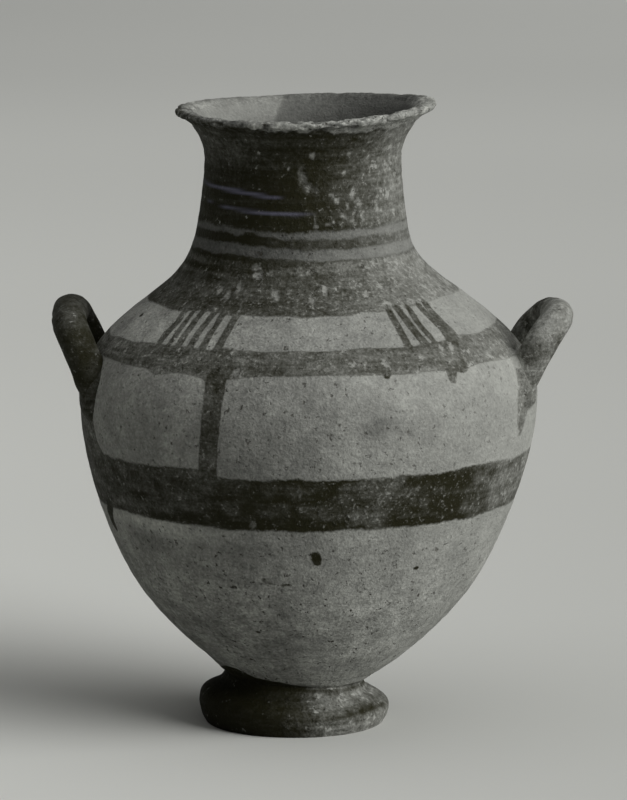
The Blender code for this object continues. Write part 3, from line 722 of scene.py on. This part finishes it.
def slip_painted_earthenware(name):
    """Matt fired earthenware under brushed iron slip, worn by long burial.

    The eye sees a dusty, mottled clay with fine grain and pin-holes, and over it a dark slip with
    the drag of the brush round the wheel, thin places where the clay shows through, and specks
    where the slip has flaked off.
    """
    material = bpy.data.materials.new(name)
    add = partial(add_node, bare_tree(material))
    place = add("TexCoord", output="Object")

    # What the mesh says: depth inside the slip in mm, its wear, the clay's tone, the thin lines, how
    # gritty the clay is and how thickly small flecks have come off the slip
    slip, wear, tone, lines, grit, salt = (
        add("Attribute", output="Fac", attribute_name=label)
        for label in ("slip", "wear", "tone", "lines", "grit", "salt")
    )

    # Clouds of 14 mm, patches of 5 mm, specks of 1.3 mm, grain of 0.7 mm, what the pits and the flecks
    # are cut from, and the drag of brush and fingers round the wheel, long across and 1 mm high
    flattened = add("Mapping", {"Vector": place, "Scale": (1, 1, 11)})
    clouds, patches, specks, grain, pocks, flecks, drag = (
        add("TexNoise", {"Vector": vector, "Scale": 1000 / size, "Detail": detail, "Roughness": gain})
        for vector, size, detail, gain in (
            (place, 14, 4, 0.6), (place, 5, 4, 0.62), (place, 1.3, 3, 0.65), (place, 0.7, 2, 0.6),
            (place, 1.5, 3, 0.6), (place, 2.6, 4, 0.7), (flattened, 11, 4, 0.6))
    )

    # Ragged dents in one cell of 7 mm out of five
    cells = add("TexVoronoi", {"Vector": place, "Scale": 1000 / 7}, "Distance")
    cell_chance = add("SeparateColor", {"Color": cells.node.outputs["Color"]})
    dent_size = add("MapRange", {
        "Value": cell_chance, "From Min": 0.72, "From Max": 1, "To Min": -0.35, "To Max": -0.04})
    dent_shape = add("Math", {0: specks, 1: 0.6, 2: dent_size}, operation="MULTIPLY_ADD")
    dent_reach = add("Math", {0: dent_shape, 1: cells}, operation="SUBTRACT")

    # The slip's edge wavers by half a millimetre. Flecks of 1 to 2 mm have flaked off, more of them where
    # the wear is high, and finer ones where the mesh asks for them
    ragged = slip
    for layer, weight in ((patches, 1.3), (specks, 0.9)):
        ragged = add("Math", {0: layer, 1: weight, 2: ragged}, operation="MULTIPLY_ADD")
    worn_flecks = add("Math", {0: wear, 1: 0.17, 2: flecks}, operation="MULTIPLY_ADD")
    finest = add("Math", {0: grain, 1: specks}, operation="ADD")
    salting = add("Math", {0: salt, 1: 0.22, 2: finest}, operation="MULTIPLY_ADD")

    # Each of these, and pits of about 0.7 mm where a fine noise dips, fades in between two values
    pits, dents, brushed_on, flaked, salted = (
        add("MapRange", {"Value": value, "From Min": low, "From Max": high, "To Max": most},
            interpolation_type="SMOOTHSTEP")
        for value, low, high, most in (
            (pocks, 0.39, 0.29, 0.5), (dent_reach, 0.06, 0.2, 0.6), (ragged, 0.84, 1.36, 1),
            (worn_flecks, 0.64, 0.73, 0.75), (salting, 1.22, 1.5, 0.5))
    )
    # Pits and dents are darkened in colour as painted shade, and also sunk by the bump below
    either = add("Math", {0: pits, 1: dents}, operation="MAXIMUM")
    weathered = add("MapRange", {"Value": slip, "From Min": -20, "From Max": -12})
    gritty = add("Math", {0: weathered, 1: grit}, operation="MULTIPLY")
    holes = add("Math", {0: either, 1: gritty}, operation="MULTIPLY", use_clamp=True)
    gone = add("Math", {0: flaked, 1: salted}, operation="MAXIMUM")
    kept = add("Math", {0: 1, 1: gone}, operation="SUBTRACT")
    cover = add("Math", {0: brushed_on, 1: kept}, operation="MULTIPLY")

    # How unevenly the slip has thinned, most where it is half worn
    uneven = -1.7
    for layer, weight in ((specks, 0.95), (patches, 1), (grain, 0.55), (drag, 0.9)):
        uneven = add("Math", {0: layer, 1: weight, 2: uneven}, operation="MULTIPLY_ADD")
    squared = add("Math", {0: wear, 1: wear}, operation="MULTIPLY")
    halfway = add("Math", {0: wear, 1: squared}, operation="SUBTRACT")
    amount = add("Math", {0: halfway, 1: 2.3, 2: 0.1}, operation="MULTIPLY_ADD")
    sheer = add("Math", {0: uneven, 1: amount, 2: wear}, operation="MULTIPLY_ADD", use_clamp=True)

    # Clay: clouds, patches, specks, grain and drag, multiplied into its colour, and pits and dents darkened
    # with painted shade
    mottle = 1
    for layer, low, high in (
            (clouds, 0.86, 1.12), (patches, 0.86, 1.14), (specks, 0.86, 1.14), (grain, 0.86, 1.14),
            (drag, 0.95, 1.05)):
        shade = add("MapRange", {
            "Value": layer, "From Min": 0.28, "From Max": 0.72, "To Min": low, "To Max": high})
        mottle = add("Math", {0: mottle, 1: shade}, operation="MULTIPLY")
    mottle = add("Math", {0: mottle, 1: grit}, operation="POWER")
    light = add("Math", {0: mottle, 1: tone}, operation="MULTIPLY")
    bare = add("VectorMath", {0: linear(CLAY)[:3], 3: light}, operation="SCALE")
    bare = add("Mix", {0: holes, 6: bare, 7: linear(PIT_SHADE)}, 2, data_type="RGBA")
    thin_slip = add("Mix", {0: sheer, 6: linear(SLIP), 7: bare}, 2, data_type="RGBA")
    lined = add("Math", {0: lines, 1: 0.45}, operation="MULTIPLY")
    thin_slip = add("Mix", {0: lined, 6: thin_slip, 7: linear(THIN_LINE)}, 2, data_type="RGBA")
    colour = add("Mix", {0: cover, 6: bare, 7: thin_slip}, 2, data_type="RGBA")

    # Clay is dusty and the slip slightly burnished by the brush
    roughness = add("MapRange", {"Value": cover, "To Min": 0.92, "To Max": 0.68})

    # Surface: grain, specks and patches stand up, holes go down, and the slip lies on top
    surface = grain
    for layer, weight in ((holes, -1.5), (specks, 1.1), (cover, 0.35), (drag, 0.4), (patches, 2.8)):
        surface = add("Math", {0: layer, 1: weight, 2: surface}, operation="MULTIPLY_ADD")
    normal = add("Bump", {"Height": surface, "Strength": 0.85, "Distance": 0.00024})
    shader = add("BsdfPrincipled", {
        "Base Color": colour, "Roughness": roughness, "Normal": normal, "IOR": 1.45,
        "Specular IOR Level": 0.16})
    add("OutputMaterial", {"Surface": shader})
    return material


# Turned pieces

def body_spacing(height):
    """Rows are closer where the painted edges lie."""
    fine = bump(height, 114.5, 12) + bump(height, 81, 5) + bump(height, 64.5, 5)
    return 1.75 - 0.9 * np.clip(1.3 * fine, 0, 1)


def turned_pieces(material):
    """The foot, the body and the neck, and the wiped rings of clay where they meet."""
    # The disc foot with its hollow, from the hollow's middle out, up its edge and in over its top
    top, bottom = FOOT_SEAM - JOINT_GAP, FOOT_SEAM + JOINT_GAP
    recess = resample(stretch((0, FOOT_RECESS[1]), (FOOT_RECESS[0], 0), 90, 145, FOOT_FULLNESS), 1.5)[1:]
    rest, inner = [[20.4, 0], [22.8, 0]], [[15, top], [7, top]]
    outer = [resample(FOOT_FACE, 0.45), [[face_radius(FOOT_SEAM), FOOT_SEAM]]]
    turned("foot", [recess, rest], outer, [inner], material, (FOOT_RECESS[1], top))

    # The ring between foot and body
    outer = rows_between(FOOT_SEAM, LUTING_SEAM, lambda height: 0.5)
    inner = [inset(LUTING_SEAM - JOINT_GAP, 0.9), [face_radius(FOOT_SEAM) - 3, bottom]]
    turned("foot_luting", [], [outer], [inner], material)

    # The hollow body: under its base, up its outer face, in at the joint and down its cavity
    base = [[8, bottom], [face_radius(FOOT_SEAM) - 3.4, bottom], inset(LUTING_SEAM + JOINT_GAP, 1.2)]
    outer = rows_between(LUTING_SEAM, SHOULDER_SEAM, body_spacing)
    joint = [inset(SHOULDER_SEAM - 0.1, 1), inset(JOINT_TOP, 1.7)]
    cavity = inset(np.linspace(JOINT_TOP, 18.3, 26), BODY_WALL)
    floor = resample(stretch(cavity[-1], (0, BODY_FLOOR), 232.5, 270, 0.36), 4)[1:-1]
    turned("body", [base], [outer], [joint, cavity, floor], material, (bottom, BODY_FLOOR))

    # The ring in the hollow between shoulder and neck
    outer = rows_between(SHOULDER_SEAM, NECK_SEAM, lambda height: 0.55)
    inner = [inset(NECK_SEAM - 0.1, 0.6), inset(JOINT_TOP + JOINT_GAP, 1.3), inset(SHOULDER_SEAM + 0.1, 0.6)]
    turned("neck_luting", [], [outer], [inner], material)

    # The neck, its flare and its worn lip, and down its throat
    foot = JOINT_TOP + 2 * JOINT_GAP
    step = [inset(foot, 1.7), inset(NECK_SEAM + 0.1, 1)]
    outer = rows_between(NECK_SEAM, FLARE[1], lambda height: np.where(height > 166, 0.4, 0.75))
    lip = resample(join(
        stretch(FLARE, RIM, FLARE_LEAN, 0, LIP_FULLNESS),
        stretch(RIM, CREST, 0, -90, LIP_FULLNESS),
        stretch(CREST, inset(FLARE[1], NECK_WALL), -90, FLARE_LEAN + 180, LIP_FULLNESS),
    ), 0.38)[1:]
    throat = inset(np.linspace(FLARE[1], foot, 40), NECK_WALL)[1:]
    turned("neck", [step], [outer, lip], [throat], material)


# Handles: side, height and distance of the roots, how far one stands out and how much of that is arch,
# splay and bend in degrees, skew and roll as slopes, radii, seeds of lumps and blotches, flecks

Handle = namedtuple("Handle", (
    "side root_height span rise arch_rise splay bend skew roll root_radius top_radius lumps blotches salt"))
HANDLES = {
    "left": Handle(-1, 100.7, 37.6, 16.6, 13.1, 38.4, 8, -0.02, 0.04, 5.2, 5.1, 31, 35, 0.25),
    "right": Handle(1, 102.3, 36.8, 17, 16.2, 45, 23, 0.07, -0.09, 4.8, 4.6, 37, 39, 0.7),
}
BURIED_LENGTH = 12.5
TIP_RADIUS = 3.5
COVERED = 1.6

# The paint's edges on the front of the right handle's root: (height, left edge, right edge) in mm
ROOT_PAINT = (
    (85, 57.2, 57.8), (89.8, 56.6, 58.8), (94, 56.5, 59.8), (97.5, 56.7, 61.4), (100, 57.1, 64.5),
    (103, 58, 90), (106.5, 59.2, 90), (112, 50, 90),
)

# Pads: how far they reach up and aside, and how far they stand in and out of the wall
PAD_UP = 12
PAD_ASIDE = 8.6
PAD_SUNK = 0.45
PAD_PROUD = 1.75
PAD_CLIMB = 1.9


def wall_turn(handle, height, across):
    """Angle round the jar at which its wall is this far back, on a handle's side and at this height."""
    return atan2(handle.side * sqrt(face_radius(height) ** 2 - across ** 2), -across)


def handle_line(handle, rows):
    """Centreline and radius of a handle: a superellipse arch on two straight legs, bent to an arc."""
    half, leg, level = 0.5 * handle.span, handle.rise - handle.arch_rise, handle.root_height
    turn = np.linspace(-0.5 * pi, 0.5 * pi, 1201)
    across = np.sign(turn) * half * np.abs(np.sin(turn)) ** (2 / 3)
    up = leg + handle.arch_rise * np.maximum(np.cos(turn), 0) ** (2 / 3)
    buried = np.linspace(-BURIED_LENGTH, leg, 120)[:-1]
    across = np.pad(across, len(buried), mode="edge")
    up = np.concatenate([buried, up, buried[::-1]])
    radius = handle.root_radius + (handle.top_radius - handle.root_radius) * up / handle.rise
    tip = TIP_RADIUS + (handle.root_radius - TIP_RADIUS) * (1 + up / BURIED_LENGTH)
    radius = np.where(up < 0, tip, radius)
    root = settle(wall_turn(handle, level, half), face_radius(level), level)
    out, rise = face_normal(level)
    low = radians(handle.splay) - atan2(rise, out)
    bend = radians(handle.bend) / handle.rise
    outward = (cos(low) - np.cos(low + bend * up)) / bend - handle.skew * across
    upward = (np.sin(low + bend * up) - sin(low)) / bend + handle.roll * across
    line = np.stack([root[0] + handle.side * outward, across, root[2] + upward], -1)
    travel = lengths(line)
    even = np.linspace(0, travel[-1], rows)
    return np.stack([np.interp(even, travel, part) for part in line.T], -1), np.interp(even, travel, radius)


def root_paint(points):
    """Depth inside the paint on the front of the right handle's root, in millimetres."""
    heights, left, right = np.array(ROOT_PAINT, float).T
    x, z = points[..., 0], points[..., 2]
    depth = np.minimum(x - np.interp(z, heights, left), np.interp(z, heights, right) - x)
    return np.where(points[..., 1] < 0, 0.4 * depth + 0.4 * swell(z / 3, x, 93, 6, (1, 4), (2, 6)), 4)


def handle_piece(label, material):
    """A roll of clay: a near-round section carried along the centreline, its ends under the wall's face."""
    handle = HANDLES[label]
    line, radius = handle_line(handle, 210)
    tangent = np.pad(np.gradient(line, axis=0), ((2, 2), (0, 0)), mode="edge")
    smooth = np.array([1, 2, 3, 2, 1]) / 9
    tangent = unit(np.stack([np.convolve(part, smooth, "valid") for part in tangent.T], -1))
    middle = line[len(line) // 2] - 0.5 * (line[0] + line[-1])
    aside = unit(np.cross(np.cross(line[-1] - line[0], middle), tangent))
    over = np.cross(tangent, aside)
    radius = np.convolve(np.pad(radius, 8, mode="edge"), np.hanning(19)[1:-1] / 9, "valid")
    angle = np.linspace(0, 2 * pi, 64, endpoint=False)[None]
    travel = np.linspace(0, 60, len(line))[:, None]
    uneven = 1 - 0.03 * (1 + swell(angle, travel, handle.lumps, 8, (1, 3), (14, 45)))
    uneven = uneven - 0.012 * (1 + swell(angle, travel, 33, 8, (3, 9), (3, 9)))
    section = (radius[:, None] * uneven)[..., None]
    points = line[:, None] + section * (
        np.cos(angle)[..., None] * aside[:, None] + np.sin(angle)[..., None] * over[:, None])

    # What would stand too deep in the wall is lifted to just under its face
    x, y, height = np.moveaxis(points, -1, 0)
    x = x - WHEEL_AXIS - drift(height)
    reach, out = np.hypot(x, y), face_normal(height)[0]
    lifted = np.maximum((face_radius(height) - reach) * out - COVERED, 0) / out
    points = points + (lifted / reach)[..., None] * np.stack([x, y, 0 * x], -1)

    # The left one keeps its dark coat, the right one is rubbed along its top and front
    blotches = swell(angle, travel, handle.blotches, 10, (1, 4), (4, 13))
    _, y, height = np.moveaxis(points, -1, 0)
    slip, wear = 5 + 0 * y, 0.03 + 0.13 * ease((height - 112) / 8) + 0.04 * blotches
    if label == "right":
        slip, front = np.minimum(root_paint(points), 5), ease(-y / 10 + 0.4)
        wear = 0.32 + front * (0.14 + 0.3 * ease((height - 111) / 6) - 0.1 * bump(height, 109, 3.2))
        wear = wear + 0.14 * front * (1 - ease((height - 99) / 5)) + 0.11 * blotches
    even = np.ones_like(y)
    values = dict(
        slip=slip, wear=np.clip(wear, 0, 1), tone=even, lines=0 * even, grit=even, salt=handle.salt * even)
    add_piece(label + "_handle", points, [points[0].mean(0), points[-1].mean(0)], material, values)


def pad_piece(label, end, material):
    """Clay wiped round a handle root: a low lens on the wall that climbs the handle in a hollow curve.

    At a share s of the way from its middle to its edge it stands -0.45 + 1.75 (1 - s)^1.5 mm proud.
    By the handle it climbs, to the root of that squared and of the climb squared, which is 1.9 mm
    times the square of the nearness within 3 mm. Its underside is in the wall.
    """
    handle = HANDLES[label]
    node = "%s_handle_%s_root" % (label, end)
    across = (-0.5 if end == "front" else 0.5) * handle.span
    middle = handle.root_height - 3.5 + handle.roll * across
    angle = np.linspace(0, 2 * pi, 112, endpoint=False)[None]
    top_rows, under_rows = np.linspace(0.04, 1, 34), np.linspace(0.96, 0.08, 9)
    share = np.concatenate([top_rows, under_rows])[:, None]
    top = (np.arange(len(share)) < len(top_rows))[:, None]
    wide = share * (1 + 0.05 * swell(angle, 0, 51 + len(node), 5, (2, 5), (40, 90)))
    height = middle + PAD_UP * wide * np.cos(angle) * face_normal(middle)[0]
    turn = wall_turn(handle, middle, across) + PAD_ASIDE * wide * np.sin(angle) / face_radius(height)
    line, radius = handle_line(handle, 260)
    on_wall = settle(turn, face_radius(height), height)
    away = (np.linalg.norm(on_wall[:, :, None] - line, axis=-1) - radius).min(-1)
    near = np.clip(1 - away / 3, 0, 1) * ease((1 - share) / 0.5)
    lens = -PAD_SUNK + PAD_PROUD * (1 - share) ** 1.5
    proud = np.hypot(np.maximum(lens, 0), PAD_CLIMB * near ** 2) + np.minimum(lens, 0)
    proud = np.where(top, proud, -PAD_SUNK - np.sqrt(1 - share ** 2))
    out, rise = face_normal(height)
    spread = face_radius(height) + proud * out - np.where(top, 0.12, 0)
    points = settle(turn, spread, height + proud * rise)

    values = paint(turn, height)
    if label == "left":
        coated, worn = 3.5 - 0.45 * away, 0.12
    else:
        coated, worn = root_paint(points) if end == "front" else 1.5 - away, 0.48
    values["wear"] = np.where(coated > values["slip"], worn, values["wear"])
    values["slip"] = np.maximum(values["slip"], coated)
    add_piece(node, points, [points[0].mean(0), points[-1].mean(0)], material, values)


# Studio

# Painted light on the ground, from the front of the jar to the back: (metres behind the jar, share of its
# colour)
GROUND_PAINTED_LIGHT = (
    (-0.1, 1), (0, 0.98), (0.09, 0.985), (0.15, 1), (0.2, 1), (0.36, 0.98), (0.82, 0.92), (1.3, 0.86),
    (1.8, 0.77), (2.1, 0.75),
)
GROUND_RINGS = (40, 400, 2000, 9000)
BOUNCE_SHARE = 0.64

# Lamps: name, strength, width in degrees and turn in degrees
LAMPS = (("window", 2.72, 50, (67.5, 0, 63.5)), ("skylight", 0.88, 80, (0, 0, 0)))
FILL_STRENGTH = 0.035

CAMERA_PLACE = (-0.0015, -1.6, 0.355)
CAMERA_PITCH = 9.351285
CAMERA_LENS = 259.64
CAMERA_SHIFT = 0.01


def pale_paper_with_painted_light(name):
    """Matt pale paper with painted light on it: brightest a hand's breadth behind the jar and greyer away
    from there, and brighter to one side.

    What it throws back on the jar is held down to two thirds, as by a sheet no bigger than it needs to be.
    """
    material = bpy.data.materials.new(name)
    add = partial(add_node, bare_tree(material))
    right = add("SeparateXYZ", {0: add("TexCoord", output="Object")})
    back = right.node.outputs[1]
    first, last = GROUND_PAINTED_LIGHT[0][0], GROUND_PAINTED_LIGHT[-1][0]
    painted_falloff = add("ValToRGB", {"Fac": add("MapRange", {"Value": back, "From Min": first, "From Max": last})})
    ramp = painted_falloff.node.color_ramp
    ramp.interpolation = "EASE"
    for distance, share in GROUND_PAINTED_LIGHT[1:-1]:
        ramp.elements.new((distance - first) / (last - first))
    for stop, (distance, share) in zip(ramp.elements, GROUND_PAINTED_LIGHT):
        stop.color = (share, share, share, 1)
    # Painted light across the ground: brighter to the left near the jar, to the right far behind it
    swing = add("Math", {0: back, 1: 0.34, 2: -0.37}, operation="MULTIPLY_ADD")
    sideways = add("Math", {0: right, 1: swing, 2: 1}, operation="MULTIPLY_ADD")
    strength = add("MapRange", {"Value": add("LightPath", output="Is Camera Ray"), "To Min": BOUNCE_SHARE})
    shade = add("VectorMath", {0: painted_falloff, 1: linear(PAPER)[:3]}, operation="MULTIPLY")
    for factor in (sideways, strength):
        shade = add("VectorMath", {0: shade, 3: factor}, operation="SCALE")
    add("OutputMaterial", {"Surface": add("BsdfDiffuse", {"Color": shade, "Roughness": 0.5})})
    return material


def studio():
    """The ground, the lamps and the camera."""
    reach = np.array(GROUND_RINGS, float)[:, None]
    angle = np.linspace(2 * pi, 0, 96, endpoint=False)[None]
    points = np.stack([reach * np.cos(angle), reach * np.sin(angle), 0 * reach * angle - 0.05], -1)
    rings = np.concatenate([points, points[::-1] - [0, 0, 20]])
    sheet = grid_mesh("ground", rings, [(0, 0, -0.05), (0, 0, -20.05)])
    sheet.materials.append(pale_paper_with_painted_light("pale_paper_with_painted_light"))
    ground = link_object("ground", sheet)

    for name, energy, width, lean in LAMPS:
        light = bpy.data.lights.new(name, "SUN")
        light.energy, light.angle = energy, radians(width)
        link_object(name, light).rotation_euler = [radians(part) for part in lean]

    # Lens rays see the backdrop's colour in place of the weak fill light
    world = bpy.context.scene.world = bpy.data.worlds.new("room")
    add = partial(add_node, bare_tree(world))
    fill = add("Background", {"Color": linear(FILL_LIGHT), "Strength": FILL_STRENGTH})
    backdrop = add("Background", {"Color": linear(BACKDROP)})
    path = add("LightPath", output="Is Camera Ray")
    add("OutputWorld", {"Surface": add("MixShader", {0: path, 1: fill, 2: backdrop})})

    view = bpy.data.cameras.new("camera")
    view.lens, view.sensor_width, view.shift_x, view.clip_end = CAMERA_LENS, 36, CAMERA_SHIFT, 100
    camera = link_object("camera", view)
    camera.location = CAMERA_PLACE
    camera.rotation_euler = (radians(90 - CAMERA_PITCH), 0, 0)
    bpy.context.scene.camera = camera
    bpy.context.scene.view_settings.view_transform = "Standard"


painted = slip_painted_earthenware("slip_painted_earthenware")
turned_pieces(painted)
for label in HANDLES:
    handle_piece(label, painted)
    for end in ("front", "back"):
        pad_piece(label, end, painted)
studio()

bpy.context.view_layer.update()
